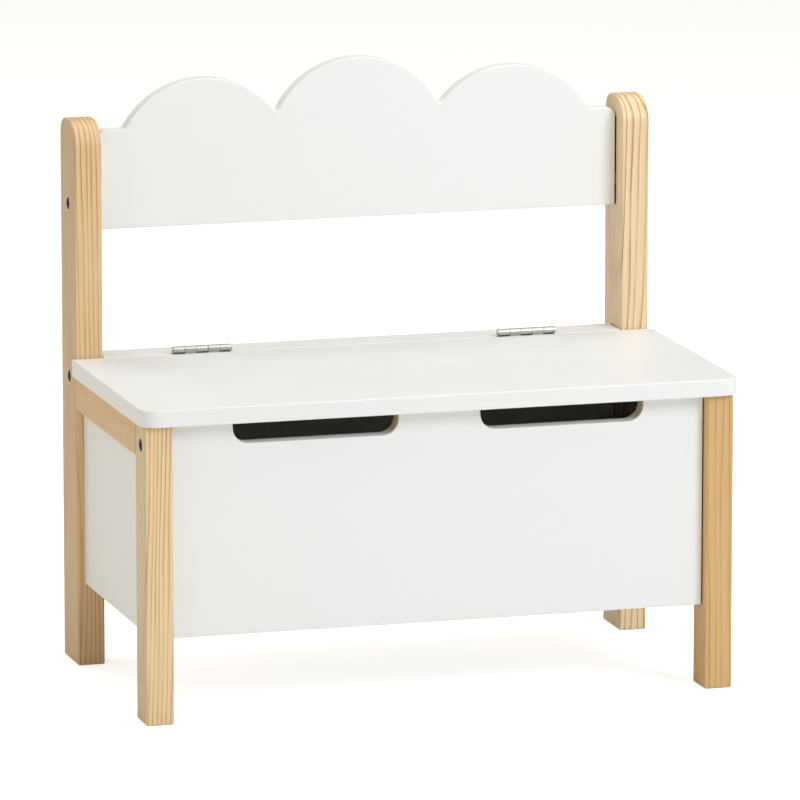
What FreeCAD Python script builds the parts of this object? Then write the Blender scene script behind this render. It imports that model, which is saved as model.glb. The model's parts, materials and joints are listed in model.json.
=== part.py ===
import FreeCAD, Part
import os
import re
from math import atan2, sqrt

import Sketcher
from FreeCAD import Placement, Rotation, Vector

# A child's storage bench: a pine frame with white panels, a hinged lid that is the seat,
# and a backrest with three clouds along its top.
# Seen from the front, +X points right, +Y to the back and +Z up. The origin is on the
# floor, under the middle of the bench's outline.

SIZES = {
    # Pine frame
    "frame_width": 600,
    "frame_depth": 333,
    "upright_width": 28,
    "leg_depth": 38,
    "post_depth": 58,
    "post_height": 551.5,
    "post_top_front_radius": 26,
    "post_top_rear_radius": 17,
    "rail_height": 34,
    "rail_thickness": 20,
    "wood_edge_radius": 2,
    "rail_edge_radius": 1,
    # Lid, which is also the seat
    "seat_height": 314,
    "lid_thickness": 17,
    "lid_clearance": 0.8,
    "lid_front_lap": 8,
    "lid_side_lap": 5,
    "lid_front_corner_radius": 18,
    "lid_rear_corner_radius": 3,
    "lid_rear_gap": 1.2,
    # White panels of the box
    "panel_base": 84,
    "panel_end_gap": 1.2,
    "panel_edge_radius": 1.2,
    "front_panel_thickness": 18,
    "front_panel_inset": 10,
    "side_panel_thickness": 12,
    "side_panel_inset": 8,
    "rear_panel_thickness": 17,
    "rear_panel_setback": 21,
    "hinge_rail_height": 40,
    "hinge_rail_edge_radius": 0.6,
    # Finger cut-outs in the top edge of the front panel
    "cutout_width": 167,
    "cutout_depth": 22.5,
    "cutout_corner_radius": 16,
    "cutout_spacing": 251,
    "cutout_overshoot": 5,
    # Backrest and its clouds
    "backrest_base": 440,
    "shoulder_height": 540,
    "shoulder_length": 28.5,
    "shoulder_corner_radius": 10,
    "valley_height": 549,
    "valley_offset": 85,
    "side_cloud_radius": 93,
    "middle_cloud_radius": 94,
    "valley_radius": 4,
    # Bottom of the box
    "bottom_thickness": 9,
    "bottom_clearance": 1,
    "cleat_size": 15,
    "cleat_base": 90,
    "long_cleat_length": 480,
    "short_cleat_length": 190,
    "long_cleat_screw_inset": 30,
    "short_cleat_screw_inset": 25,
    # Bolts with cross dowels
    "bolt_radius": 3,
    "bolt_length": 60,
    "bolt_hole_radius": 3.3,
    "bolt_head_radius": 6.3,
    "bolt_head_height": 2.2,
    "bolt_head_round": 0.7,
    "bolt_socket_radius": 2.9,
    "bolt_socket_depth": 1.7,
    "bolt_recess": 0.2,
    "bolt_hole_spare": 3,
    "counterbore_radius": 6.6,
    "counterbore_mouth_radius": 7.8,
    "counterbore_chamfer": 1.2,
    "nut_radius": 5,
    "nut_length": 13,
    "nut_slot_width": 1.4,
    "nut_slot_depth": 1.2,
    "nut_offset": 28,
    "nut_bore_radius": 3.05,
    "hole_clearance": 0.05,
    "backrest_bolt_height": 467,
    "back_bolt_height": 291.5,
    "front_bolt_height": 276,
    # Wooden dowels
    "large_dowel_radius": 4,
    "large_dowel_length": 28,
    "small_dowel_radius": 3,
    "small_dowel_length": 22,
    "dowel_round": 0.8,
    "dowel_hole_spare": 0.5,
    "low_dowel_height": 112,
    "middle_dowel_height": 200,
    "backrest_dowel_height": 518,
    "side_low_dowel_height": 130,
    "side_high_dowel_height": 225,
    # Butt hinges with friction in their knuckles
    "hinge_spacing": 340,
    "hinge_length": 60,
    "leaf_height": 15,
    "leaf_thickness": 1.5,
    "leaf_recess_clearance": 0.1,
    "hinge_rise": 4,
    "knuckle_radius": 3.5,
    "knuckle_gap": 0.4,
    "pin_radius": 1.5,
    "pin_clearance": 0.05,
    "pin_cap_radius": 2.6,
    "pin_cap_length": 1,
    # Wood screws
    "screw_radius": 1.5,
    "screw_head_radius": 3.2,
    "screw_head_height": 1.5,
    "screw_cross_width": 0.8,
    "screw_cross_length": 3.6,
    "screw_cross_depth": 1,
    "hinge_screw_length": 14,
    "rail_screw_length": 32,
    "cleat_screw_length": 24,
    "screw_hole_spare": 1,
    "leaf_screw_depth": 8,
    "leaf_screw_inset": 10,
    "rail_screw_rise": 12,
    "rail_screw_spacing": 153,
    # Rubber buffers that the lid comes down on
    "buffer_radius": 5,
    "buffer_thickness": 2.2,
    "buffer_gap": 0.3,
    "buffer_rear_distance": 20,
}

SIDES = {"left": -1, "right": 1}
KNUCKLES = 5
TOLERANCE = 0.01

UP = Vector(0, 0, 1)
FORWARD = Vector(0, -1, 0)
BACKWARD = Vector(0, 1, 0)

# Places that several pieces share, as formulas of the sizes above.
LEG_FRONT = "((lid_front_lap - frame_depth) / 2)"
LEG_REAR = f"({LEG_FRONT} + leg_depth)"
LEG_TOP = "(seat_height - lid_thickness - lid_clearance)"
POST_REAR = "((lid_front_lap + frame_depth) / 2)"
POST_FRONT = f"({POST_REAR} - post_depth)"
OUTER_FACE = "(frame_width / 2)"
INNER_FACE = "(frame_width / 2 - upright_width)"
UPRIGHT_CENTRE = "(frame_width / 2 - upright_width / 2)"
PANEL_END = f"({INNER_FACE} - panel_end_gap)"
FRONT_PANEL_FACE = f"({LEG_FRONT} + front_panel_inset)"
FRONT_PANEL_BACK = f"({FRONT_PANEL_FACE} + front_panel_thickness)"
FRONT_MIDDLE = f"({FRONT_PANEL_FACE} + front_panel_thickness / 2)"
REAR_PANEL_FACE = f"({POST_FRONT} + rear_panel_setback)"
REAR_PANEL_BACK = f"({REAR_PANEL_FACE} + rear_panel_thickness)"
REAR_MIDDLE = f"({REAR_PANEL_FACE} + rear_panel_thickness / 2)"
SIDE_PANEL_FACE = "(frame_width / 2 - side_panel_inset)"
SIDE_PANEL_BACK = f"({SIDE_PANEL_FACE} - side_panel_thickness)"
SIDE_MIDDLE = f"({SIDE_PANEL_FACE} - side_panel_thickness / 2)"
RAIL_MIDDLE = "(frame_width / 2 - rail_thickness / 2)"
RAIL_BASE = f"({LEG_TOP} - rail_height)"
RAIL_DOWEL_HEIGHT = f"({LEG_TOP} - rail_height / 2)"
LID_REAR = f"({POST_FRONT} - lid_rear_gap)"
LID_BASE = "(seat_height - lid_thickness)"
HINGE_Y = f"({POST_FRONT} - lid_rear_gap / 2)"
HINGE_Z = "(seat_height + hinge_rise)"
BUFFER_TOP = f"({LID_BASE} - buffer_gap)"

document = FreeCAD.newDocument("ToyBox")
sheet = document.addObject("Spreadsheet::Sheet", "Sizes")


def fill_sheet():
    """Writes every driving size into the sheet, one row each, with its name as the alias."""
    for row, (name, size) in enumerate(SIZES.items(), start=1):
        sheet.set(f"A{row}", name)
        sheet.set(f"B{row}", str(size))
        sheet.setAlias(f"B{row}", name)
    document.recompute()


def formula(text):
    """The text as an expression that other objects can hold: each size's name gets the sheet's."""
    return re.sub(r"[a-z][a-z_]*", lambda word: "Sizes." + word.group() if word.group() in SIZES
                  else word.group(), text)


def value(text):
    return float(sheet.evalExpression(text))


def bind(feature, **formulas):
    for name, text in formulas.items():
        feature.setExpression(name, formula(text))


def place(feature, position, direction=UP, prefix="Placement"):
    """Turns the feature's own Z to the direction and ties its position to the sheet."""
    setattr(feature, prefix, Placement(Vector(), Rotation(UP, direction)))
    for axis, text in zip("xyz", position):
        feature.setExpression(f"{prefix}.Base.{axis}", formula(text))


def new_body(label):
    body = document.addObject("PartDesign::Body", label)
    body.Label = label
    return body


def add(body, kind, position, direction=UP, **formulas):
    """Adds a PartDesign primitive, such as AdditiveBox or SubtractiveCylinder, to the body."""
    feature = body.newObject(f"PartDesign::{kind}", f"{body.Name}_{kind}")
    bind(feature, **formulas)
    place(feature, position, direction)
    return feature


def board(label, low, size):
    """A rectangular board from its lowest corner and its size along X, Y and Z."""
    body = new_body(label)
    add(body, "AdditiveBox", low, Length=size[0], Width=size[1], Height=size[2])
    return body


def drill(body, start, direction, radius, depth):
    add(body, "SubtractiveCylinder", start, direction, Radius=radius, Height=depth)


def outline(sketch, corners):
    """Draws a closed outline, anticlockwise. A corner that names a radius starts an arc outwards."""
    points = [Vector(value(corner[0]), value(corner[1]), 0) for corner in corners]
    for index, corner in enumerate(corners):
        start = points[index]
        end = points[(index + 1) % len(points)]
        if len(corner) == 2:
            sketch.addGeometry(Part.LineSegment(start, end))
            continue
        radius = value(corner[2])
        chord = end - start
        inward = Vector(-chord.y, chord.x, 0).normalize()
        centre = (start + end) * 0.5 + inward * sqrt(radius ** 2 - (chord.Length / 2) ** 2)
        angles = [atan2(point.y - centre.y, point.x - centre.x) for point in (start, end)]
        sketch.addGeometry(Part.ArcOfCircle(Part.Circle(centre, UP, radius), *angles))
    for index in range(len(corners)):
        following = (index + 1) % len(corners)
        sketch.addConstraint(Sketcher.Constraint("Coincident", index, 2, following, 1))
    for index, corner in enumerate(corners):
        dimension(sketch, "DistanceX", (-1, 1, index, 1), corner[0])
        dimension(sketch, "DistanceY", (-1, 1, index, 1), corner[1])
        if len(corner) == 3:
            dimension(sketch, "Radius", (index,), corner[2])


def dimension(sketch, kind, geometry, text):
    number = sketch.addConstraint(Sketcher.Constraint(kind, *geometry, value(text)))
    sketch.setExpression(f"Constraints[{number}]", formula(text))


def draw(body, role, level, corners):
    """A sketch on one of the body's own planes, moved along the plane's normal to the level."""
    plane = next(item for item in body.Origin.OriginFeatures if item.Role == role)
    sketch = body.newObject("Sketcher::SketchObject", f"{body.Name}_sketch")
    sketch.AttachmentSupport = (plane, [""])
    sketch.MapMode = "FlatFace"
    place(sketch, ("0", "0", level), prefix="AttachmentOffset")
    outline(sketch, corners)
    return sketch


def pad(body, role, level, corners, length):
    feature = body.newObject("PartDesign::Pad", f"{body.Name}_pad")
    feature.Profile = draw(body, role, level, corners)
    bind(feature, Length=length)


def pocket(body, role, level, corners, length):
    """Cuts the outline into the body, against the plane's normal."""
    feature = body.newObject("PartDesign::Pocket", f"{body.Name}_pocket")
    feature.Profile = draw(body, role, level, corners)
    bind(feature, Length=length)


def in_plane(edge, axis, *levels):
    """Whether the whole edge lies in one of the planes that cross the axis at the levels."""
    box = edge.BoundBox
    low = getattr(box, axis + "Min")
    high = getattr(box, axis + "Max")
    return any(max(abs(low - value(level)), abs(high - value(level))) < TOLERANCE for level in levels)


def soften(body, radius, chosen=lambda edge: True):
    """Rounds the chosen edges of what the body is so far."""
    document.recompute()
    base = body.Tip
    names = [f"Edge{index}" for index, edge in enumerate(base.Shape.Edges, start=1) if chosen(edge)]
    fillet = body.newObject("PartDesign::Fillet", f"{body.Name}_fillet")
    fillet.Base = (base, names)
    bind(fillet, Radius=radius)


def copies(label, template, places):
    """One node of identical separate solids: a link to the template at each place."""
    links = []
    for position, direction in places:
        link = document.addObject("App::Link", f"{label}_copy")
        link.LinkedObject = template
        place(link, position, direction)
        links.append(link)
    group = document.addObject("Part::Compound", label)
    group.Label = label
    group.Links = links
    return group


def outward(side):
    return Vector(side, 0, 0)


def inward(side):
    return Vector(-side, 0, 0)


# Holes of the joints

def bolt_seat(upright, side, y, z):
    """The bolt's way through a post or leg, with the seat for its head on the outer face."""
    mouth = (f"{side} * {OUTER_FACE}", y, z)
    drill(upright, mouth, inward(side), "bolt_hole_radius", "upright_width")
    drill(upright, mouth, inward(side), "counterbore_radius", "bolt_recess + bolt_head_height")
    add(upright, "SubtractiveCone", mouth, inward(side), Radius1="counterbore_mouth_radius",
        Radius2="counterbore_radius", Height="counterbore_chamfer")


def bolt_socket(panel, side, y, z, nut_face, thickness):
    """The bolt's hole in a panel's end, and the cross dowel's hole from the panel's hidden face."""
    depth = "bolt_recess + bolt_head_height + bolt_length - upright_width - panel_end_gap + bolt_hole_spare"
    drill(panel, (f"{side} * {PANEL_END}", y, z), inward(side), "bolt_hole_radius", depth)
    drill(panel, (f"{side} * ({PANEL_END} - nut_offset)", nut_face, z), FORWARD,
          "nut_radius + hole_clearance", f"{thickness} / 2 + nut_length / 2 + hole_clearance")


def dowel_hole(body, start, direction, size):
    """Half of the hole of a dowel, from the joint's face."""
    drill(body, start, direction, f"{size}_dowel_radius + hole_clearance",
          f"{size}_dowel_length / 2 + dowel_hole_spare")


# Frame

def rear_post(name, side):
    body = new_body(f"rear_post_{name}")
    profile = [
        (POST_FRONT, "0"),
        (POST_REAR, "0"),
        (POST_REAR, "post_height - post_top_rear_radius", "post_top_rear_radius"),
        (f"{POST_REAR} - post_top_rear_radius", "post_height"),
        (f"{POST_FRONT} + post_top_front_radius", "post_height", "post_top_front_radius"),
        (POST_FRONT, "post_height - post_top_front_radius"),
    ]
    low = f"({side} * {UPRIGHT_CENTRE} - upright_width / 2)"
    pad(body, "YZ_Plane", low, profile, "upright_width")
    faces = (low, f"{low} + upright_width")
    soften(body, "wood_edge_radius", lambda edge: in_plane(edge, "X", *faces) or in_plane(edge, "Z", "0"))
    bolt_seat(body, side, REAR_MIDDLE, "backrest_bolt_height")
    bolt_seat(body, side, REAR_MIDDLE, "back_bolt_height")
    for height in ("low_dowel_height", "middle_dowel_height", "backrest_dowel_height"):
        dowel_hole(body, (f"{side} * {INNER_FACE}", REAR_MIDDLE, height), outward(side), "large")
    dowel_hole(body, (f"{side} * {RAIL_MIDDLE}", POST_FRONT, RAIL_DOWEL_HEIGHT), BACKWARD, "large")
    for height in ("side_low_dowel_height", "side_high_dowel_height"):
        dowel_hole(body, (f"{side} * {SIDE_MIDDLE}", POST_FRONT, height), BACKWARD, "small")
    return body


def front_leg(name, side):
    low = f"({side} * {UPRIGHT_CENTRE} - upright_width / 2)"
    body = board(f"front_leg_{name}", (low, LEG_FRONT, "0"), ("upright_width", "leg_depth", LEG_TOP))
    soften(body, "wood_edge_radius")
    bolt_seat(body, side, FRONT_MIDDLE, "front_bolt_height")
    for height in ("low_dowel_height", "middle_dowel_height"):
        dowel_hole(body, (f"{side} * {INNER_FACE}", FRONT_MIDDLE, height), outward(side), "large")
    dowel_hole(body, (f"{side} * {RAIL_MIDDLE}", LEG_REAR, RAIL_DOWEL_HEIGHT), FORWARD, "large")
    for height in ("side_low_dowel_height", "side_high_dowel_height"):
        dowel_hole(body, (f"{side} * {SIDE_MIDDLE}", LEG_REAR, height), FORWARD, "small")
    buffer_recess(body, f"{side} * {UPRIGHT_CENTRE}", FRONT_MIDDLE)
    return body


def buffer_recess(body, x, y):
    drill(body, (x, y, f"{BUFFER_TOP} - buffer_thickness"), UP, "buffer_radius + hole_clearance",
          "buffer_thickness")


def side_rail(name, side):
    low = f"({side} * {RAIL_MIDDLE} - rail_thickness / 2)"
    length = f"({POST_FRONT} - {LEG_REAR})"
    body = board(f"side_rail_{name}", (low, LEG_REAR, RAIL_BASE), ("rail_thickness", length, "rail_height"))
    faces = (low, f"{low} + rail_thickness")
    soften(body, "rail_edge_radius", lambda edge: in_plane(edge, "X", *faces)
           and not in_plane(edge, "Y", LEG_REAR, POST_FRONT))
    x = f"{side} * {RAIL_MIDDLE}"
    dowel_hole(body, (x, LEG_REAR, RAIL_DOWEL_HEIGHT), BACKWARD, "large")
    dowel_hole(body, (x, POST_FRONT, RAIL_DOWEL_HEIGHT), FORWARD, "large")
    buffer_recess(body, x, f"{POST_FRONT} - buffer_rear_distance")
    return body


# White panels

def side_panel(name, side):
    low = f"({side} * {SIDE_MIDDLE} - side_panel_thickness / 2)"
    length = f"({POST_FRONT} - {LEG_REAR})"
    body = board(f"side_panel_{name}", (low, LEG_REAR, "panel_base"),
                 ("side_panel_thickness", length, f"{RAIL_BASE} - panel_base"))
    soften(body, "panel_edge_radius", lambda edge: in_plane(edge, "Z", "panel_base")
           and not in_plane(edge, "Y", LEG_REAR, POST_FRONT))
    for height in ("side_low_dowel_height", "side_high_dowel_height"):
        dowel_hole(body, (f"{side} * {SIDE_MIDDLE}", LEG_REAR, height), BACKWARD, "small")
        dowel_hole(body, (f"{side} * {SIDE_MIDDLE}", POST_FRONT, height), FORWARD, "small")
    for position, _ in short_cleat_screw_places(side):
        drill(body, (f"{side} * {SIDE_PANEL_BACK}", position[1], position[2]), outward(side),
              "screw_radius + hole_clearance", "cleat_screw_length - cleat_size + screw_hole_spare")
    return body


def cutout(centre):
    """One finger cut-out: a slot with rounded bottom corners that is open at the top."""
    low = f"({LEG_TOP} - cutout_depth)"
    high = f"({LEG_TOP} + cutout_overshoot)"
    start = f"({centre} - cutout_width / 2)"
    end = f"({centre} + cutout_width / 2)"
    return [
        (start, high),
        (start, f"{low} + cutout_corner_radius", "cutout_corner_radius"),
        (f"{start} + cutout_corner_radius", low),
        (f"{end} - cutout_corner_radius", low, "cutout_corner_radius"),
        (end, f"{low} + cutout_corner_radius"),
        (end, high),
    ]


def front_panel():
    body = board("front_panel", (f"-{PANEL_END}", FRONT_PANEL_FACE, "panel_base"),
                 (f"2 * {PANEL_END}", "front_panel_thickness", f"{LEG_TOP} - panel_base"))
    for side in SIDES.values():
        pocket(body, "XZ_Plane", f"-{FRONT_PANEL_FACE}", cutout(f"({side} * cutout_spacing / 2)"),
               "front_panel_thickness")
    soften(body, "panel_edge_radius", lambda edge: in_plane(edge, "Y", FRONT_PANEL_FACE, FRONT_PANEL_BACK)
           and not in_plane(edge, "X", PANEL_END, f"-{PANEL_END}"))
    for side in SIDES.values():
        bolt_socket(body, side, FRONT_MIDDLE, "front_bolt_height", FRONT_PANEL_BACK,
                    "front_panel_thickness")
        for height in ("low_dowel_height", "middle_dowel_height"):
            dowel_hole(body, (f"{side} * {PANEL_END}", FRONT_MIDDLE, height), inward(side), "large")
    for position, _ in long_cleat_screw_places(FRONT_PANEL_BACK, 1):
        drill(body, (position[0], FRONT_PANEL_BACK, position[2]), FORWARD,
              "screw_radius + hole_clearance", "cleat_screw_length - cleat_size + screw_hole_spare")
    return body


def back_panel():
    body = board("back_panel", (f"-{PANEL_END}", REAR_PANEL_FACE, "panel_base"),
                 (f"2 * {PANEL_END}", "rear_panel_thickness", "seat_height - panel_base"))
    soften(body, "panel_edge_radius", lambda edge: in_plane(edge, "Y", REAR_PANEL_BACK)
           and not in_plane(edge, "X", PANEL_END, f"-{PANEL_END}"))
    for side in SIDES.values():
        bolt_socket(body, side, REAR_MIDDLE, "back_bolt_height", REAR_PANEL_BACK,
                    "rear_panel_thickness")
        for height in ("low_dowel_height", "middle_dowel_height"):
            dowel_hole(body, (f"{side} * {PANEL_END}", REAR_MIDDLE, height), inward(side), "large")
    for position, _ in hinge_rail_screw_places():
        countersunk_hole(body, position, FORWARD, "rear_panel_thickness")
    for position, _ in long_cleat_screw_places(REAR_PANEL_FACE, -1):
        drill(body, (position[0], REAR_PANEL_FACE, position[2]), BACKWARD,
              "screw_radius + hole_clearance", "cleat_screw_length - cleat_size + screw_hole_spare")
    return body


def backrest_panel():
    """The upper back: straight below, three clouds above, between two level shoulders."""
    shoulder_end = f"({PANEL_END} - shoulder_length)"
    clouds = [
        (f"-{PANEL_END}", "backrest_base"),
        (PANEL_END, "backrest_base"),
        (PANEL_END, "shoulder_height"),
        (shoulder_end, "shoulder_height", "side_cloud_radius"),
        ("valley_offset", "valley_height", "middle_cloud_radius"),
        ("-valley_offset", "valley_height", "side_cloud_radius"),
        (f"-{shoulder_end}", "shoulder_height"),
        (f"-{PANEL_END}", "shoulder_height"),
    ]
    body = new_body("backrest_panel")
    pad(body, "XZ_Plane", f"-{REAR_PANEL_BACK}", clouds, "rear_panel_thickness")
    soften(body, "valley_radius", lambda edge: crosses_panel(edge)
           and in_plane(edge, "X", shoulder_end, f"-{shoulder_end}", "valley_offset", "-valley_offset"))
    soften(body, "shoulder_corner_radius", lambda edge: crosses_panel(edge)
           and in_plane(edge, "Z", "shoulder_height") and in_plane(edge, "X", PANEL_END, f"-{PANEL_END}"))
    soften(body, "panel_edge_radius", lambda edge: in_plane(edge, "Y", REAR_PANEL_FACE, REAR_PANEL_BACK)
           and not in_plane(edge, "X", PANEL_END, f"-{PANEL_END}"))
    for side in SIDES.values():
        bolt_socket(body, side, REAR_MIDDLE, "backrest_bolt_height", REAR_PANEL_BACK,
                    "rear_panel_thickness")
        dowel_hole(body, (f"{side} * {PANEL_END}", REAR_MIDDLE, "backrest_dowel_height"), inward(side),
                   "large")
    return body


def crosses_panel(edge):
    """Whether the edge runs straight through the panel, from its front to its back."""
    return abs(edge.BoundBox.YLength - value("rear_panel_thickness")) < TOLERANCE


def hinge_rail():
    """The fixed strip between the posts, level with the seat, that the lid's hinges are on."""
    body = board("hinge_rail", (f"-{PANEL_END}", POST_FRONT, "seat_height - hinge_rail_height"),
                 (f"2 * {PANEL_END}", "rear_panel_setback", "hinge_rail_height"))
    soften(body, "hinge_rail_edge_radius", lambda edge: in_plane(edge, "Y", POST_FRONT)
           and in_plane(edge, "Z", "seat_height", "seat_height - hinge_rail_height"))
    for side in SIDES.values():
        leaf_recess(body, side, POST_FRONT)
    for position, _ in leaf_screw_places(POST_FRONT, 1):
        drill(body, (position[0], POST_FRONT, position[2]), BACKWARD, "screw_radius + hole_clearance",
              "hinge_screw_length + screw_hole_spare")
    for position, _ in hinge_rail_screw_places():
        drill(body, (position[0], REAR_PANEL_FACE, position[2]), FORWARD,
              "screw_radius + hole_clearance", "rail_screw_length - rear_panel_thickness + screw_hole_spare")
    return body


def leaf_recess(body, side, low):
    """The shallow seat of a hinge leaf, open at the top."""
    spare = "leaf_recess_clearance"
    start = f"{side} * hinge_spacing / 2 - hinge_length / 2 - {spare}"
    add(body, "SubtractiveBox", (start, low, f"seat_height - leaf_height - {spare}"),
        Length=f"hinge_length + 2 * {spare}", Width=f"leaf_thickness + {spare}",
        Height=f"leaf_height + 2 * {spare}")


def lid():
    half = "(frame_width / 2 + lid_side_lap)"
    front = f"({LEG_FRONT} - lid_front_lap)"
    round_front = "lid_front_corner_radius"
    round_rear = "lid_rear_corner_radius"
    plan = [
        (f"{round_front} - {half}", front),
        (f"{half} - {round_front}", front, round_front),
        (half, f"{front} + {round_front}"),
        (half, f"{LID_REAR} - {round_rear}", round_rear),
        (f"{half} - {round_rear}", LID_REAR),
        (f"{round_rear} - {half}", LID_REAR, round_rear),
        (f"-{half}", f"{LID_REAR} - {round_rear}"),
        (f"-{half}", f"{front} + {round_front}", round_front),
    ]
    body = new_body("lid")
    pad(body, "XY_Plane", LID_BASE, plan, "lid_thickness")
    soften(body, "panel_edge_radius", lambda edge: in_plane(edge, "Z", LID_BASE, "seat_height"))
    for side in SIDES.values():
        leaf_recess(body, side, f"{LID_REAR} - leaf_thickness - leaf_recess_clearance")
    for position, _ in leaf_screw_places(LID_REAR, -1):
        drill(body, (position[0], LID_REAR, position[2]), FORWARD, "screw_radius + hole_clearance",
              "hinge_screw_length + screw_hole_spare")
    return body


# Bottom of the box

def bottom_panel():
    """Lies on the cleats, notched at its corners around the legs and posts."""
    wide = f"({SIDE_PANEL_BACK} - bottom_clearance)"
    narrow = f"({INNER_FACE} - bottom_clearance)"
    front = f"({FRONT_PANEL_BACK} + bottom_clearance)"
    rear = f"({REAR_PANEL_FACE} - bottom_clearance)"
    front_notch = f"({LEG_REAR} + bottom_clearance)"
    rear_notch = f"({POST_FRONT} - bottom_clearance)"
    right_side = [(narrow, front), (narrow, front_notch), (wide, front_notch), (wide, rear_notch),
                  (narrow, rear_notch), (narrow, rear)]
    left_side = [(f"-{x}", y) for x, y in reversed(right_side)]
    body = new_body("bottom_panel")
    pad(body, "XY_Plane", "cleat_base + cleat_size", right_side + left_side, "bottom_thickness")
    return body


def long_cleat(label, low, face, sign):
    """A cleat along the front or back panel; sign points from the panel's face into the box."""
    body = board(label, ("-long_cleat_length / 2", low, "cleat_base"),
                 ("long_cleat_length", "cleat_size", "cleat_size"))
    soften(body, "panel_edge_radius")
    for position, _ in long_cleat_screw_places(face, sign):
        countersunk_hole(body, position, Vector(0, -sign, 0), "cleat_size")
    return body


def short_cleat(name, side):
    low = f"({side} * ({SIDE_PANEL_BACK} - cleat_size / 2) - cleat_size / 2)"
    body = board(f"bottom_cleat_{name}", (low, "-short_cleat_length / 2", "cleat_base"),
                 ("cleat_size", "short_cleat_length", "cleat_size"))
    soften(body, "panel_edge_radius")
    for position, _ in short_cleat_screw_places(side):
        countersunk_hole(body, position, outward(side), "cleat_size")
    return body


def long_cleat_screw_places(face, sign):
    return [((f"{step} * (long_cleat_length / 2 - long_cleat_screw_inset)", f"{face} + {sign} * cleat_size",
              "cleat_base + cleat_size / 2"), Vector(0, sign, 0)) for step in (-1, 0, 1)]


def short_cleat_screw_places(side):
    return [((f"{side} * ({SIDE_PANEL_BACK} - cleat_size)",
              f"{step} * (short_cleat_length / 2 - short_cleat_screw_inset)",
              "cleat_base + cleat_size / 2"), inward(side)) for step in (-1, 1)]


# Fasteners, each made once along its own Z axis, with its head's top at zero

def bolt():
    body = new_body("bolt_pattern_piece")
    add(body, "AdditiveCylinder", ("0", "0", "-bolt_head_height"), Radius="bolt_head_radius",
        Height="bolt_head_height")
    soften(body, "bolt_head_round", lambda edge: in_plane(edge, "Z", "0"))
    add(body, "AdditiveCylinder", ("0", "0", "-bolt_head_height - bolt_length"), Radius="bolt_radius",
        Height="bolt_length")
    add(body, "SubtractivePrism", ("0", "0", "-bolt_socket_depth"), Circumradius="bolt_socket_radius",
        Height="bolt_socket_depth").Polygon = 6
    return body


def cross_dowel():
    """The barrel nut: centred on its origin, with its threaded hole along X."""
    body = new_body("cross_dowel_piece")
    add(body, "AdditiveCylinder", ("0", "0", "-nut_length / 2"), Radius="nut_radius", Height="nut_length")
    drill(body, ("-nut_radius", "0", "0"), Vector(1, 0, 0), "nut_bore_radius", "2 * nut_radius")
    add(body, "SubtractiveBox", ("-nut_radius", "-nut_slot_width / 2", "nut_length / 2 - nut_slot_depth"),
        Length="2 * nut_radius", Width="nut_slot_width", Height="nut_slot_depth")
    return body


def dowel(size):
    body = new_body(f"{size}_dowel_piece")
    add(body, "AdditiveCylinder", ("0", "0", f"-{size}_dowel_length / 2"),
        Radius=f"{size}_dowel_radius", Height=f"{size}_dowel_length")
    half = f"{size}_dowel_length / 2"
    soften(body, "dowel_round", lambda edge: in_plane(edge, "Z", half, f"-{half}"))
    return body


def screw(use):
    """A countersunk wood screw with a cross recess; use names its length in the sheet."""
    body = new_body(f"{use}_screw_piece")
    add(body, "AdditiveCone", ("0", "0", "-screw_head_height"), Radius1="screw_radius",
        Radius2="screw_head_radius", Height="screw_head_height")
    add(body, "AdditiveCylinder", ("0", "0", f"-{use}_screw_length"), Radius="screw_radius",
        Height=f"{use}_screw_length - screw_head_height")
    for length, width in (("screw_cross_length", "screw_cross_width"),
                          ("screw_cross_width", "screw_cross_length")):
        add(body, "SubtractiveBox", (f"-{length} / 2", f"-{width} / 2", "-screw_cross_depth"),
            Length=length, Width=width, Height="screw_cross_depth")
    return body


def countersunk_hole(body, mouth, direction, depth):
    """A clearance hole with a countersink for a screw's head at its mouth."""
    drill(body, mouth, direction, "screw_radius + hole_clearance", depth)
    add(body, "SubtractiveCone", mouth, direction, Radius1="screw_head_radius + hole_clearance",
        Radius2="screw_radius + hole_clearance", Height="screw_head_height + hole_clearance")


def hinge_rail_screw_places():
    return [((f"{step} * rail_screw_spacing / 2", REAR_PANEL_BACK,
              "seat_height - hinge_rail_height + rail_screw_rise"), BACKWARD) for step in (-3, -1, 1, 3)]


def leaf_screw_places(face, sign):
    """The three screws of each leaf, in a row; sign points from the seam into the wood."""
    return [((f"{side} * hinge_spacing / 2 + {step} * (hinge_length / 2 - leaf_screw_inset)", face,
              "seat_height - leaf_screw_depth"), Vector(0, -sign, 0))
            for side in SIDES.values() for step in (-1, 0, 1)]


# Hinges

def hinge_leaf(label, side, face, sign, own_knuckles):
    """A leaf against the wood's face and its share of the knuckles; sign points into the wood."""
    start = f"({side} * hinge_spacing / 2 - hinge_length / 2)"
    low = f"({face} + {min(sign, 0)} * leaf_thickness)"
    body = board(label, (start, low, "seat_height - leaf_height"),
                 ("hinge_length", "leaf_thickness", "leaf_height"))
    knuckle_length = f"hinge_length / {KNUCKLES} - knuckle_gap"
    for number in own_knuckles:
        knuckle_start = f"{start} + {number} * hinge_length / {KNUCKLES} + knuckle_gap / 2"
        add(body, "AdditiveBox", (knuckle_start, low, "seat_height - leaf_height / 2"),
            Length=knuckle_length, Width="leaf_thickness", Height="leaf_height / 2 + hinge_rise")
        add(body, "AdditiveCylinder", (knuckle_start, HINGE_Y, HINGE_Z), Vector(1, 0, 0),
            Radius="knuckle_radius", Height=knuckle_length)
    drill(body, (start, HINGE_Y, HINGE_Z), Vector(1, 0, 0), "pin_radius + pin_clearance", "hinge_length")
    for position, _ in leaf_screw_places(face, sign):
        if value(position[0]) * side > 0:
            countersunk_hole(body, position, Vector(0, sign, 0), "leaf_thickness")
    return body


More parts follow.
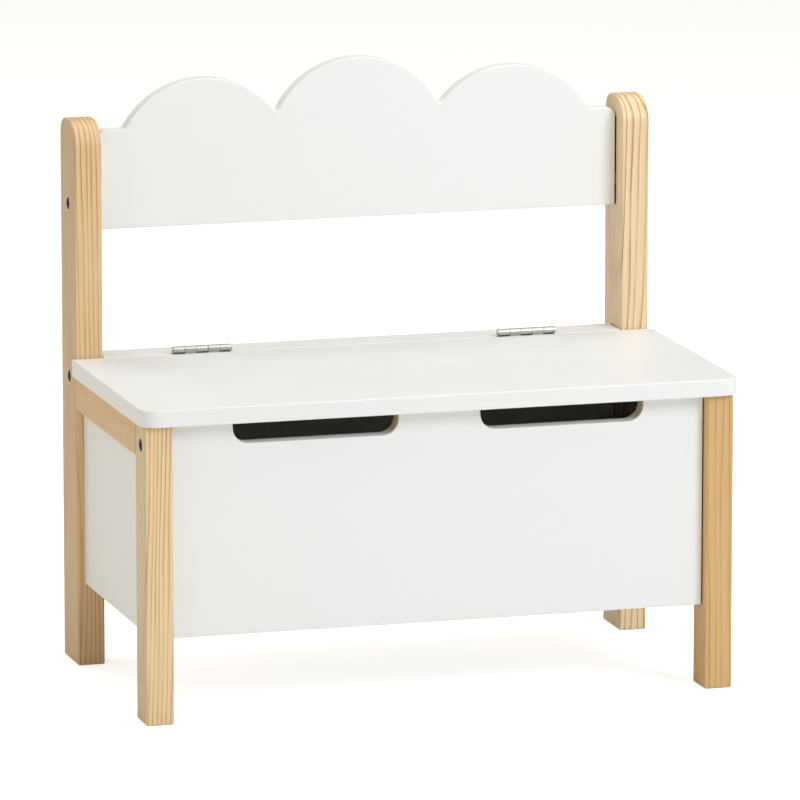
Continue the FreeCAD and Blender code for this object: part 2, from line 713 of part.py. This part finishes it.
def hinge_pin(name, side):
    """The pin of one hinge, held by a cap at each end."""
    start = f"({side} * hinge_spacing / 2 - hinge_length / 2)"
    along = Vector(1, 0, 0)
    body = new_body(f"hinge_pin_{name}")
    add(body, "AdditiveCylinder", (start, HINGE_Y, HINGE_Z), along, Radius="pin_radius",
        Height="hinge_length")
    for cap_start in (f"{start} - pin_cap_length", f"{start} + hinge_length"):
        add(body, "AdditiveCylinder", (cap_start, HINGE_Y, HINGE_Z), along, Radius="pin_cap_radius",
            Height="pin_cap_length")
    return body


def rubber_buffer():
    body = new_body("buffer_piece")
    add(body, "AdditiveCylinder", ("0", "0", "-buffer_thickness"), Radius="buffer_radius",
        Height="buffer_thickness")
    return body


def fasteners():
    """Every group of identical fasteners, each group one node."""
    ends = list(SIDES.values())
    bolt_piece = bolt()
    nut_piece = cross_dowel()
    groups = []
    joints = {"backrest": (REAR_MIDDLE, "backrest_bolt_height"),
              "back_panel": (REAR_MIDDLE, "back_bolt_height"),
              "front_panel": (FRONT_MIDDLE, "front_bolt_height")}
    for name, (y, z) in joints.items():
        seats = [((f"{side} * ({OUTER_FACE} - bolt_recess)", y, z), outward(side)) for side in ends]
        nuts = [((f"{side} * ({PANEL_END} - nut_offset)", y, z), BACKWARD) for side in ends]
        groups.append(copies(f"{name}_bolts", bolt_piece, seats))
        groups.append(copies(f"{name}_cross_dowels", nut_piece, nuts))
    panel_dowels = [((f"{side} * ({INNER_FACE} - panel_end_gap / 2)", y, z), outward(side))
                    for side in ends
                    for y, z in ((FRONT_MIDDLE, "low_dowel_height"), (FRONT_MIDDLE, "middle_dowel_height"),
                                 (REAR_MIDDLE, "low_dowel_height"), (REAR_MIDDLE, "middle_dowel_height"),
                                 (REAR_MIDDLE, "backrest_dowel_height"))]
    rail_dowels = [((f"{side} * {RAIL_MIDDLE}", y, RAIL_DOWEL_HEIGHT), BACKWARD)
                   for side in ends for y in (LEG_REAR, POST_FRONT)]
    side_panel_dowels = [((f"{side} * {SIDE_MIDDLE}", y, z), BACKWARD)
                         for side in ends for y in (LEG_REAR, POST_FRONT)
                         for z in ("side_low_dowel_height", "side_high_dowel_height")]
    large_dowel = dowel("large")
    groups.append(copies("panel_dowels", large_dowel, panel_dowels))
    groups.append(copies("rail_dowels", large_dowel, rail_dowels))
    groups.append(copies("side_panel_dowels", dowel("small"), side_panel_dowels))
    hinge_screw = screw("hinge")
    groups.append(copies("fixed_leaf_screws", hinge_screw, leaf_screw_places(POST_FRONT, 1)))
    groups.append(copies("lid_leaf_screws", hinge_screw, leaf_screw_places(LID_REAR, -1)))
    groups.append(copies("hinge_rail_screws", screw("rail"), hinge_rail_screw_places()))
    cleat_screws = long_cleat_screw_places(FRONT_PANEL_BACK, 1)
    cleat_screws += long_cleat_screw_places(REAR_PANEL_FACE, -1)
    for side in ends:
        cleat_screws += short_cleat_screw_places(side)
    groups.append(copies("cleat_screws", screw("cleat"), cleat_screws))
    buffers = []
    for side in ends:
        buffers.append(((f"{side} * {UPRIGHT_CENTRE}", FRONT_MIDDLE, BUFFER_TOP), UP))
        buffers.append(((f"{side} * {RAIL_MIDDLE}", f"{POST_FRONT} - buffer_rear_distance", BUFFER_TOP), UP))
    groups.append(copies("lid_buffers", rubber_buffer(), buffers))
    return groups


def build():
    """Every piece of the bench, as the list of objects that are written out."""
    fill_sheet()
    pieces = [front_panel(), back_panel(), backrest_panel(), hinge_rail(), lid(), bottom_panel()]
    pieces.append(long_cleat("bottom_cleat_front", FRONT_PANEL_BACK, FRONT_PANEL_BACK, 1))
    pieces.append(long_cleat("bottom_cleat_rear", f"{REAR_PANEL_FACE} - cleat_size", REAR_PANEL_FACE, -1))
    every = range(KNUCKLES)
    for name, side in SIDES.items():
        pieces += [rear_post(name, side), front_leg(name, side), side_rail(name, side),
                   side_panel(name, side), short_cleat(name, side), hinge_pin(name, side)]
        pieces.append(hinge_leaf(f"hinge_fixed_leaf_{name}", side, POST_FRONT, 1, every[0::2]))
        pieces.append(hinge_leaf(f"hinge_lid_leaf_{name}", side, LID_REAR, -1, every[1::2]))
    pieces += fasteners()
    document.recompute()
    return pieces


def check():
    """Stops at a failed object, and at a cut or an addition that changed nothing."""
    for item in document.Objects:
        if {"Invalid", "Error"} & set(item.State):
            raise RuntimeError(f"{item.Label} failed: {item.State}")
        base = getattr(item, "BaseFeature", None)
        if base is None or not hasattr(item, "Shape"):
            continue
        change = item.Shape.Volume - base.Shape.Volume
        if ("Subtractive" in item.TypeId or "Pocket" in item.TypeId) and change > -TOLERANCE:
            raise RuntimeError(f"{item.Label} cuts nothing")
        if "Additive" in item.TypeId and change < TOLERANCE:
            raise RuntimeError(f"{item.Label} adds nothing")


def write(pieces):
    os.makedirs("parts", exist_ok=True)
    for piece in pieces:
        if piece.Shape.isNull() or not piece.Shape.isValid():
            raise RuntimeError(f"{piece.Label} has no valid shape")
        piece.Shape.exportStep(f"parts/{piece.Label}.step")
        print(f"{piece.Label}: {len(piece.Shape.Solids)} solid(s), {piece.Shape.Volume / 1000:.1f} cm3")


pieces = build()
check()
write(pieces)
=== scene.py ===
import json
import math

import bpy
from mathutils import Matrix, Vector


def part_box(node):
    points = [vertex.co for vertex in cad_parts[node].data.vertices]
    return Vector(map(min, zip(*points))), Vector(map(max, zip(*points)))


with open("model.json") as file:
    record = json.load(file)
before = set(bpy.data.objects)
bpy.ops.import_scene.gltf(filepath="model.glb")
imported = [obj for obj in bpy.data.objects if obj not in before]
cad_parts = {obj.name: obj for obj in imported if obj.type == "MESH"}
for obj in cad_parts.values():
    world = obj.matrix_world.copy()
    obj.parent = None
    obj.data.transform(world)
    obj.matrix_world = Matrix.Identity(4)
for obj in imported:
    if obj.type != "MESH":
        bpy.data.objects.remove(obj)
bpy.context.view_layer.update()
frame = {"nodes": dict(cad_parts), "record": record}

nodes = frame["nodes"]

SHARP_ANGLE = math.radians(32)


def smooth_nodes():
    """Rounded edges shade smoothly and square ones stay crisp."""
    for node in nodes.values():
        mesh = node.data
        mesh.polygons.foreach_set("use_smooth", [True] * len(mesh.polygons))
        mesh.set_sharp_from_angle(angle=SHARP_ANGLE)


class Graph:
    """A material's node tree, with short calls that add a node and join its inputs."""

    def __init__(self, name):
        self.material = bpy.data.materials.new(name)
        self.material.use_nodes = True
        self.tree = self.material.node_tree
        self.shader = self.tree.nodes["Principled BSDF"]

    def add(self, kind, inputs=(), **settings):
        """A new node, with its settings made and its inputs fed."""
        node = self.tree.nodes.new(kind)
        for key, setting in settings.items():
            setattr(node, key, setting)
        for key, source in dict(inputs).items():
            self.feed(node, key, source)
        return node

    def feed(self, node, key, source):
        """Joins a socket to a node's input, or sets the input to a value."""
        if isinstance(source, bpy.types.NodeSocket):
            self.tree.links.new(source, node.inputs[key])
        else:
            node.inputs[key].default_value = source

    def place(self):
        """The point being shaded, in metres, in the frame of the CAD model."""
        return self.add("ShaderNodeTexCoord").outputs["Object"]

    def mapped(self, vector, scale=(1, 1, 1), turn=(0, 0, 0), shift=(0, 0, 0)):
        """The point scaled, turned and shifted."""
        return self.add("ShaderNodeMapping", {"Vector": vector, "Scale": scale, "Rotation": turn,
                                              "Location": shift}).outputs[0]

    def noise(self, vector, scale, detail=3.0, roughness=0.5):
        """Smooth noise, 0 to 1."""
        return self.add("ShaderNodeTexNoise", {"Vector": vector, "Scale": scale, "Detail": detail,
                                               "Roughness": roughness}).outputs["Fac"]

    def math(self, operation, first, second=0.0):
        """One sum of arithmetic on two values."""
        return self.add("ShaderNodeMath", {0: first, 1: second}, operation=operation).outputs[0]

    def spread(self, factor, low, high, from_low=0.0, from_high=1.0):
        """The factor's own range stretched or shrunk to another one, and held within it."""
        ranges = {"From Min": from_low, "From Max": from_high, "To Min": low, "To Max": high}
        return self.add("ShaderNodeMapRange", {"Value": factor, **ranges}).outputs[0]

    def ramp(self, factor, stops):
        """Colours by position; the first stop is at 0 and the last at 1."""
        node = self.add("ShaderNodeValToRGB", {"Fac": factor})
        elements = node.color_ramp.elements
        elements[0].color = (*stops[0][1], 1)
        elements[1].color = (*stops[-1][1], 1)
        for position, colour in stops[1:-1]:
            elements.new(position).color = (*colour, 1)
        return node.outputs["Color"]

    def mix(self, factor, first, second, blend="MIX"):
        """The first colour going over to the second as the factor goes from 0 to 1."""
        node = self.add("ShaderNodeMix", data_type="RGBA", blend_type=blend)
        self.feed(node, 0, factor)
        self.feed(node, 6, first if isinstance(first, bpy.types.NodeSocket) else (*first, 1))
        self.feed(node, 7, second if isinstance(second, bpy.types.NodeSocket) else (*second, 1))
        return node.outputs[2]

    def bump(self, height, strength, distance):
        """Small relief, as a change of the surface's normal."""
        return self.add("ShaderNodeBump", {"Height": height, "Strength": strength,
                                           "Distance": distance}).outputs[0]


def linear(red, green, blue):
    """An sRGB colour, 0 to 255, as the linear values that a shader takes."""
    return tuple((c / 255 / 12.92) if c / 255 <= 0.04045 else ((c / 255 + 0.055) / 1.055) ** 2.4
                 for c in (red, green, blue))


# Growth rings: the pith lies far to one side of each board, so its front face shows long, nearly
# straight lines and its side faces a plain, softly mottled grain.
PITH_DISTANCE = 0.24
DEPTH_SHARE = 0.3
STRETCH = (1, 1, 0.16)
UNEVEN_PITCH = 0.6

# How the grain of one board differs from the next: a shift into the noise for each seed
SEED_SHIFT = (0.0131, 0.0217, 0.371)

FIBRES_PER_METRE = 900.0
PORES_PER_METRE = 2600.0
FIBRE_STRETCH = (1, 1, 0.02)
PORE_STRETCH = (1, 1, 0.1)
LINE_STRENGTH = (0.35, 1.25)

# How much of each tone is laid over the wood at most, and between which two levels of its noise
# it comes in
LINE_WINDOW = (0.3, 0.7)
RESIN_AMOUNT, RESIN_WINDOW = 0.3, (0.35, 0.7)
FIBRE_AMOUNT, FIBRE_WINDOW = 0.22, (0.4, 0.75)
PORE_AMOUNT, PORE_WINDOW = 0.16, (0.6, 0.8)
WOOD_ROUGHNESS = (0.34, 0.52)
WOOD_RELIEF = 0.0003
LACQUER_WEIGHT = 0.15
LACQUER_ROUGHNESS = 0.3

# How far a face is turned to the side, as |X| of its normal, where it starts and ends to count
BOARD_SIDE = (0.6, 0.9)
CUT_SIDE = (0.3, 0.7)

# Faces turned to the left or right: their lines are calmed, and the colour below multiplies their tone as
# painted shade on the side faces
SIDE_LINE_SHARE = 0.25
PAINTED_SIDE_SHADE = (0.84, 0.86, 0.88)

# sRGB colours in the wood, 0 to 255
RESIN = (222, 176, 116)
PORE = (150, 108, 64)
# Painted shade for the gaps where the panels' ends meet the uprights
JOINT_SHADOW = (46, 32, 20)
# A painted highlight: the pale ring round each bolt's head
CHAMFER_HIGHLIGHT = (252, 236, 204)

FACE_TOLERANCE = 0.0005
MOUTH_INNER_RADIUS = 0.0064
MOUTH_OUTER_RADIUS = 0.0078
ALONG_X = (0, math.radians(90), 0)
ALONG_Y = (math.radians(90), 0, 0)
ALONG_Z = (0, 0, 0)

# A ring's darkness from its start to its end
RING = ((0.0, 0.4), (0.06, 0.0), (0.5, 0.04), (0.76, 0.25), (0.88, 0.85), (0.95, 1.0), (1.0, 0.4))


def growth_rings(graph, place, pitch, wander):
    """Where each point lies in its year's ring, 0 to 1, in a board whose grain runs along Z."""
    slow = graph.mapped(place, scale=STRETCH)
    drift = graph.spread(graph.noise(slow, 14.0, 2.0), -wander, wander)
    parts = graph.add("ShaderNodeSeparateXYZ", {"Vector": place})
    depth = graph.math("MULTIPLY", parts.outputs[1], DEPTH_SHARE)
    bow = graph.math("DIVIDE", graph.math("MULTIPLY", depth, depth), 2 * PITH_DISTANCE)
    across = graph.math("ADD", graph.math("ADD", parts.outputs[0], drift), bow)
    patches = graph.noise(graph.mapped(slow, scale=(1, 0.3, 0.4)), 80.0, 1.0)
    uneven = graph.spread(patches, -UNEVEN_PITCH, UNEVEN_PITCH)
    return graph.math("FRACT", graph.math("ADD", graph.math("DIVIDE", across, pitch), uneven))


def latewood(graph, phase):
    """The thin dark line that closes each ring: it darkens slowly and ends at once."""
    return graph.ramp(phase, [(position, (level, level, level)) for position, level in RING])


def within(graph, socket, low, high):
    """1 where the value is between the two, else 0."""
    return graph.math("MULTIPLY", graph.math("GREATER_THAN", socket, low),
                      graph.math("LESS_THAN", socket, high))


def joint_faces(graph, tone, places):
    """Paints shade on the inner face of an upright where a panel's end stands close to it, in the gap out
    of the light.
    """
    parts = graph.add("ShaderNodeSeparateXYZ", {"Vector": graph.place()})
    inner_face = abs(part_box("front_leg_right")[0][0])
    from_middle = graph.math("ABSOLUTE", parts.outputs[0])
    side = graph.math("LESS_THAN", from_middle, inner_face + FACE_TOLERANCE)
    for low, high in places:
        spot = graph.math("MULTIPLY", within(graph, parts.outputs[1], low[1], high[1]),
                          within(graph, parts.outputs[2], low[2], high[2]))
        tone = graph.mix(graph.math("MULTIPLY", spot, side), tone, linear(*JOINT_SHADOW))
    return tone


def bolt_mouths(graph, tone, places):
    """A pale ring painted round each bolt's head: a painted highlight on the chamfer."""
    parts = graph.add("ShaderNodeSeparateXYZ", {"Vector": graph.place()})
    for y, z in places:
        offset = graph.math("POWER", graph.math("SUBTRACT", parts.outputs[1], y), 2.0)
        rise = graph.math("POWER", graph.math("SUBTRACT", parts.outputs[2], z), 2.0)
        distance = graph.math("SQRT", graph.math("ADD", offset, rise))
        ring = within(graph, distance, MOUTH_INNER_RADIUS, MOUTH_OUTER_RADIUS)
        tone = graph.mix(ring, tone, linear(*CHAMFER_HIGHLIGHT))
    return tone


def sidewaysness(graph, start, end):
    """0 on faces whose normal's |X| is under start, 1 where it is over end, in between a mixture."""
    normal = graph.add("ShaderNodeNewGeometry").outputs["Normal"]
    parts = graph.add("ShaderNodeSeparateXYZ", {"Vector": normal})
    return graph.spread(graph.math("ABSOLUTE", parts.outputs[0]), 0.0, 1.0, start, end)


def ring_lines(graph, place, slow, sideways, pitch, wander, lines):
    """How dark the growth rings' lines are, from point to point."""
    phase = growth_rings(graph, place, pitch, wander)
    weak, strong = (share * lines for share in LINE_STRENGTH)
    strength = graph.spread(graph.noise(slow, 55.0, 2.0), weak, strong, *LINE_WINDOW)
    calm = graph.spread(sideways, 1.0, SIDE_LINE_SHARE)
    return graph.math("MULTIPLY", graph.math("MULTIPLY", latewood(graph, phase), strength), calm)


def wood_tone(graph, place, slow, late, fibre, light, dark):
    """Pale wood with its dark lines, warmer patches, fibres and pores."""
    pores = graph.noise(graph.mapped(place, scale=PORE_STRETCH), PORES_PER_METRE, 2.0, 0.7)
    broad = graph.noise(slow, 11.0, 2.0)
    tone = graph.mix(late, linear(*light), linear(*dark))
    warm = graph.mix(graph.spread(broad, 0.0, RESIN_AMOUNT, *RESIN_WINDOW), tone, linear(*RESIN))
    streaks = graph.spread(fibre, 0.0, FIBRE_AMOUNT, *FIBRE_WINDOW)
    streaked = graph.mix(streaks, warm, linear(*dark))
    dots = graph.spread(pores, 0.0, PORE_AMOUNT, *PORE_WINDOW)
    return graph.mix(dots, streaked, linear(*PORE))


def pine(name, turn, light, dark, pitch=0.0046, wander=0.0042, lines=0.8, seed=0.0, lean=0.0,
         side_shade_share=0.0, joints=(), bolts=()):
    """Natural pine under clear satin lacquer; turn lays its grain along an axis of the frame."""
    graph = Graph(name)
    shift = tuple(step * seed for step in SEED_SHIFT)
    laid = graph.mapped(graph.place(), turn=turn, shift=shift)
    place = graph.mapped(laid, turn=(0, lean, 0))
    slow = graph.mapped(place, scale=STRETCH)
    sideways = sidewaysness(graph, *BOARD_SIDE)
    late = ring_lines(graph, place, slow, sideways, pitch, wander, lines)
    fibre = graph.noise(graph.mapped(place, scale=FIBRE_STRETCH), FIBRES_PER_METRE, 3.0, 0.6)
    wood = wood_tone(graph, place, slow, late, fibre, light, dark)
    # Faces turned to the side are darkened here: painted shade, more or less for each board
    shaded = graph.mix(graph.math("MULTIPLY", sideways, side_shade_share), wood, PAINTED_SIDE_SHADE, "MULTIPLY")
    # Painted shade in the joint gaps, and a painted highlight round each bolt's head
    finished = bolt_mouths(graph, joint_faces(graph, shaded, joints), bolts)
    graph.feed(graph.shader, "Base Color", finished)
    graph.feed(graph.shader, "Roughness", graph.spread(fibre, *WOOD_ROUGHNESS))
    relief = graph.math("SUBTRACT", graph.math("MULTIPLY", fibre, 0.6), graph.math("MULTIPLY", late, 0.4))
    graph.feed(graph.shader, "Normal", graph.bump(relief, 0.3, WOOD_RELIEF))
    graph.shader.inputs["Coat Weight"].default_value = LACQUER_WEIGHT
    graph.shader.inputs["Coat Roughness"].default_value = LACQUER_ROUGHNESS
    graph.shader.inputs["Specular IOR Level"].default_value = 0.4
    return graph.material


PAINT = (243, 243, 240)
PAINT_UNEVENNESS = 3
PAINT_ROUGHNESS = (0.34, 0.44)
PAINT_RELIEF = 0.0004
HANDLED_AMOUNT, HANDLED_WINDOW = 0.09, (0.45, 0.7)

# The ends of the finger cut-outs: the painted warm shade that their tone is multiplied by, and how far in
# from the panel's ends they are looked for
CUT_END_SHADE = (0.66, 0.54, 0.39)
CUT_MARGIN = 0.02


def cut_ends(graph, tone, reach):
    """Paints warm shade on the ends of the cut-outs nearer the middle than reach, browning their tone."""
    parts = graph.add("ShaderNodeSeparateXYZ", {"Vector": graph.place()})
    inside = graph.math("LESS_THAN", graph.math("ABSOLUTE", parts.outputs[0]), reach)
    turned = sidewaysness(graph, *CUT_SIDE)
    return graph.mix(graph.math("MULTIPLY", inside, turned), tone, CUT_END_SHADE, "MULTIPLY")


def white_paint(name, cut_reach=0.0):
    """Satin white paint on fibreboard: faint roller texture, uneven gloss."""
    graph = Graph(name)
    place = graph.place()
    cloud = graph.noise(place, 6.0, 3.0)
    grain = graph.noise(place, 900.0, 3.0, 0.6)
    roller = graph.noise(place, 260.0, 2.0, 0.5)
    tone = graph.mix(graph.spread(cloud, 0.0, 0.5), linear(*PAINT),
                     linear(*(channel - PAINT_UNEVENNESS for channel in PAINT)))
    # With a reach, the cut-outs' ends get painted warm shade
    finished = cut_ends(graph, tone, cut_reach) if cut_reach else tone
    graph.feed(graph.shader, "Base Color", finished)
    smudge = graph.noise(graph.mapped(place, scale=(1, 1, 1.8)), 22.0, 4.0, 0.65)
    handled = graph.spread(smudge, 0.0, HANDLED_AMOUNT, *HANDLED_WINDOW)
    roughness = graph.math("ADD", graph.spread(roller, *PAINT_ROUGHNESS), handled)
    graph.feed(graph.shader, "Roughness", roughness)
    relief = graph.math("ADD", graph.math("MULTIPLY", roller, 0.7), graph.math("MULTIPLY", grain, 0.3))
    graph.feed(graph.shader, "Normal", graph.bump(relief, 0.06, PAINT_RELIEF))
    graph.shader.inputs["Specular IOR Level"].default_value = 0.45
    return graph.material


STAIN_SHARE = 0.72
FINE_RELIEF = 0.0001


def metal(name, colour, rough_low, rough_high, brushed=(1, 1, 1)):
    """Bare or plated steel with fine tooling marks; brushed stretches them along an axis."""
    graph = Graph(name)
    place = graph.mapped(graph.place(), scale=brushed)
    marks = graph.noise(place, 1500.0, 4.0, 0.6)
    stain = graph.noise(graph.place(), 140.0, 3.0)
    tone = graph.mix(graph.spread(stain, 0.0, 0.6), linear(*colour),
                     linear(*(channel * STAIN_SHARE for channel in colour)))
    graph.feed(graph.shader, "Base Color", tone)
    graph.shader.inputs["Metallic"].default_value = 1.0
    graph.feed(graph.shader, "Roughness", graph.spread(marks, rough_low, rough_high))
    graph.feed(graph.shader, "Normal", graph.bump(marks, 0.12, FINE_RELIEF))
    return graph.material


def rubber(name):
    """Soft pale rubber with a dull, slightly grainy skin."""
    graph = Graph(name)
    grain = graph.noise(graph.place(), 1200.0, 3.0, 0.6)
    graph.feed(graph.shader, "Base Color", graph.mix(grain, linear(214, 213, 208), linear(200, 199, 194)))
    graph.feed(graph.shader, "Roughness", graph.spread(grain, 0.6, 0.8))
    graph.feed(graph.shader, "Normal", graph.bump(grain, 0.2, FINE_RELIEF))
    return graph.material


def dress(names, material):
    """Gives the nodes this material and no other."""
    for name in names:
        data = nodes[name].data
        data.materials.clear()
        data.materials.append(material)


def of_slot(slot):
    """The nodes that the record gives this material slot."""
    return [row["node"] for row in frame["record"]["subparts"] if row["material_slot"] == slot]


def dress_everything():
    """One material for each slot, and for each board of pine its own."""
    dress(of_slot("white_paint"), white_paint("white_satin"))
    panel_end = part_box("front_panel")[1][0]
    dress(["front_panel"], white_paint("white_satin_cut", panel_end - CUT_MARGIN))
    dress(of_slot("dark_steel"), metal("black_steel", (34, 33, 33), 0.3, 0.5))
    dress(of_slot("zinc_steel"), metal("zinc_steel", (186, 184, 176), 0.25, 0.45))
    dress(of_slot("hinge_steel"), metal("nickel_steel", (200, 198, 192), 0.22, 0.4, (0.05, 1, 1)))
    dress(of_slot("buffer_rubber"), rubber("pale_rubber"))
    dress(of_slot("dowel_beech"), pine("beech", ALONG_X, (214, 180, 138), (190, 150, 105), lines=0.3))
    for number, (name, look) in enumerate(BOARDS.items(), start=1):
        dress([name], pine("pine_" + name, seed=float(number), **look))


# How far below the posts' tops the backrest's straight ends stop
SHOULDER_DROP = 0.021


def panel_ends(*panels):
    """The panels' boxes, none of them higher than the backrest's straight ends."""
    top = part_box("rear_post_left")[1][2] - SHOULDER_DROP
    return [(low, (high[0], high[1], min(high[2], top))) for low, high in map(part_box, panels)]


def bolt_middles(*groups):
    """Y and Z of the bolts' axes, for groups of bolts that lie along X in one line."""
    return [((low[1] + high[1]) / 2, (low[2] + high[2]) / 2) for low, high in map(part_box, groups)]


PALE = (245, 217, 171)
WARM = (234, 204, 156)
HONEY = (220, 182, 124)
LINE = (186, 134, 78)

# The looks of the uprights, rails and cleats; the last table says what each board adds to its kind
POST = {"turn": ALONG_Z, "joints": panel_ends("back_panel", "backrest_panel"),
        "bolts": bolt_middles("back_panel_bolts", "backrest_bolts")}
LEG = {"turn": ALONG_Z, "joints": panel_ends("front_panel"), "bolts": bolt_middles("front_panel_bolts")}
RAIL = {"turn": ALONG_Y, "light": (229, 194, 138), "dark": LINE, "pitch": 0.006, "lines": 1.0}
LONG_CLEAT = {"turn": ALONG_X, "light": PALE, "dark": LINE}
SHORT_CLEAT = {"turn": ALONG_Y, "light": PALE, "dark": LINE}
BOARDS = {
    "rear_post_left": {**POST, "light": WARM, "dark": LINE, "pitch": 0.0050, "lines": 1.1,
                       "wander": 0.0065, "lean": math.radians(0.7), "side_shade_share": 1.0},
    "rear_post_right": {**POST, "light": (248, 223, 182), "dark": LINE, "pitch": 0.0064, "lines": 1.15,
                        "wander": 0.008, "lean": math.radians(-1.6), "side_shade_share": 0.6},
    "front_leg_left": {**LEG, "light": PALE, "dark": LINE, "pitch": 0.0043, "lines": 1.05,
                       "lean": math.radians(-1.4), "side_shade_share": 1.0},
    "front_leg_right": {**LEG, "light": HONEY, "dark": LINE, "pitch": 0.0074, "lines": 0.8,
                        "wander": 0.006, "lean": math.radians(0.9)},
    "side_rail_left": RAIL,
    "side_rail_right": RAIL,
    "bottom_cleat_front": LONG_CLEAT,
    "bottom_cleat_rear": LONG_CLEAT,
    "bottom_cleat_left": SHORT_CLEAT,
    "bottom_cleat_right": SHORT_CLEAT,
}


FLOOR_REACH = 40.0
FLOOR_GLOW = 0.6


def floor():
    """A plain white floor, wide enough for every view, bright enough to meet the white backdrop."""
    mesh = bpy.data.meshes.new("floor")
    reach = FLOOR_REACH
    corners = [(-reach, -reach, 0), (reach, -reach, 0), (reach, reach, 0), (-reach, reach, 0)]
    mesh.from_pydata(corners, [], [range(4)])
    plane = bpy.data.objects.new("floor", mesh)
    bpy.context.scene.collection.objects.link(plane)
    graph = Graph("floor_white")
    graph.shader.inputs["Base Color"].default_value = (0.93, 0.93, 0.93, 1)
    graph.shader.inputs["Roughness"].default_value = 0.9
    graph.shader.inputs["Specular IOR Level"].default_value = 0.2
    glow = graph.add("ShaderNodeEmission", {"Color": (1, 1, 1, 1), "Strength": FLOOR_GLOW})
    seen = graph.add("ShaderNodeLightPath")
    nothing = graph.add("ShaderNodeEmission", {"Strength": 0.0})
    extra = graph.add("ShaderNodeMixShader", {0: seen.outputs["Is Camera Ray"],
                                              1: nothing.outputs[0], 2: glow.outputs[0]})
    total = graph.add("ShaderNodeAddShader", {0: graph.shader.outputs[0], 1: extra.outputs[0]})
    graph.feed(graph.tree.nodes["Material Output"], "Surface", total.outputs[0])
    mesh.materials.append(graph.material)


WORLD_COLOUR = (1.0, 0.963, 0.85)
WORLD_STRENGTH = 0.32
LIGHTS_AIM = (0, 0, 0.3)

# Place, size, power in watts and colour
SOFTBOXES = {
    "key": ((1.7, -2.6, 2.3), (1.6, 1.6), 70, (0.863, 0.911, 1.0)),
    "top": ((0.4, 0.0, 2.6), (2.4, 2.0), 28.5, (1, 1, 1)),
    "left": ((-3.2, -0.8, 1.4), (2.0, 2.0), 18, (1, 0.93, 0.82)),
    "rear": ((-2.0, 2.8, 2.6), (1.6, 1.6), 22, (1, 0.98, 0.94)),
}


def softbox(name, position, size, power, colour):
    """A rectangular lamp that faces the bench."""
    data = bpy.data.lights.new(name, "AREA")
    data.shape = "RECTANGLE"
    data.size, data.size_y = size
    data.energy = power
    data.color = colour
    light = bpy.data.objects.new(name, data)
    light.location = position
    towards = Vector(LIGHTS_AIM) - Vector(position)
    light.rotation_euler = towards.to_track_quat("-Z", "Y").to_euler()
    bpy.context.scene.collection.objects.link(light)


def surroundings():
    """Pale warm light from all round, and a pure white backdrop where the camera sees past the bench."""
    world = bpy.data.worlds.new("studio")
    world.use_nodes = True
    tree = world.node_tree
    ambient = tree.nodes["Background"]
    ambient.inputs["Color"].default_value = (*WORLD_COLOUR, 1)
    ambient.inputs["Strength"].default_value = WORLD_STRENGTH
    backdrop = tree.nodes.new("ShaderNodeBackground")
    backdrop.inputs["Color"].default_value = (1, 1, 1, 1)
    backdrop.inputs["Strength"].default_value = 1.0
    seen = tree.nodes.new("ShaderNodeLightPath")
    choice = tree.nodes.new("ShaderNodeMixShader")
    tree.links.new(seen.outputs["Is Camera Ray"], choice.inputs[0])
    tree.links.new(ambient.outputs[0], choice.inputs[1])
    tree.links.new(backdrop.outputs[0], choice.inputs[2])
    tree.links.new(choice.outputs[0], tree.nodes["World Output"].inputs["Surface"])
    bpy.context.scene.world = world


def lighting():
    """A large softbox to the front right, weaker ones overhead, left and behind; bright surroundings."""
    surroundings()
    for name, (position, size, power, colour) in SOFTBOXES.items():
        softbox(name, position, size, power, colour)
    view = bpy.context.scene.view_settings
    view.view_transform = "Standard"
    view.look = "None"


# The camera stands to the front left of the bench, a little above it, with a long lens.
CAMERA_PLACE = Vector((-2.1882, -7.5072, 1.8084))
CAMERA_YAW = math.radians(16.28)
CAMERA_PITCH = math.radians(11.08)
FOCAL_PIXELS = 8000
FRAME_PIXELS = 800
SENSOR_WIDTH = 36.0


def camera():
    """The camera, tilted down a little, with no roll and no shift."""
    data = bpy.data.cameras.new("camera")
    data.sensor_width = SENSOR_WIDTH
    data.lens = FOCAL_PIXELS * data.sensor_width / FRAME_PIXELS
    data.clip_start = 0.1
    data.clip_end = 200
    eye = bpy.data.objects.new("camera", data)
    level = math.cos(CAMERA_PITCH)
    forward = Vector((math.sin(CAMERA_YAW) * level, math.cos(CAMERA_YAW) * level, -math.sin(CAMERA_PITCH)))
    eye.location = CAMERA_PLACE
    eye.rotation_euler = forward.to_track_quat("-Z", "Y").to_euler()
    bpy.context.scene.collection.objects.link(eye)
    bpy.context.scene.camera = eye


camera()
smooth_nodes()
dress_everything()
floor()
lighting()
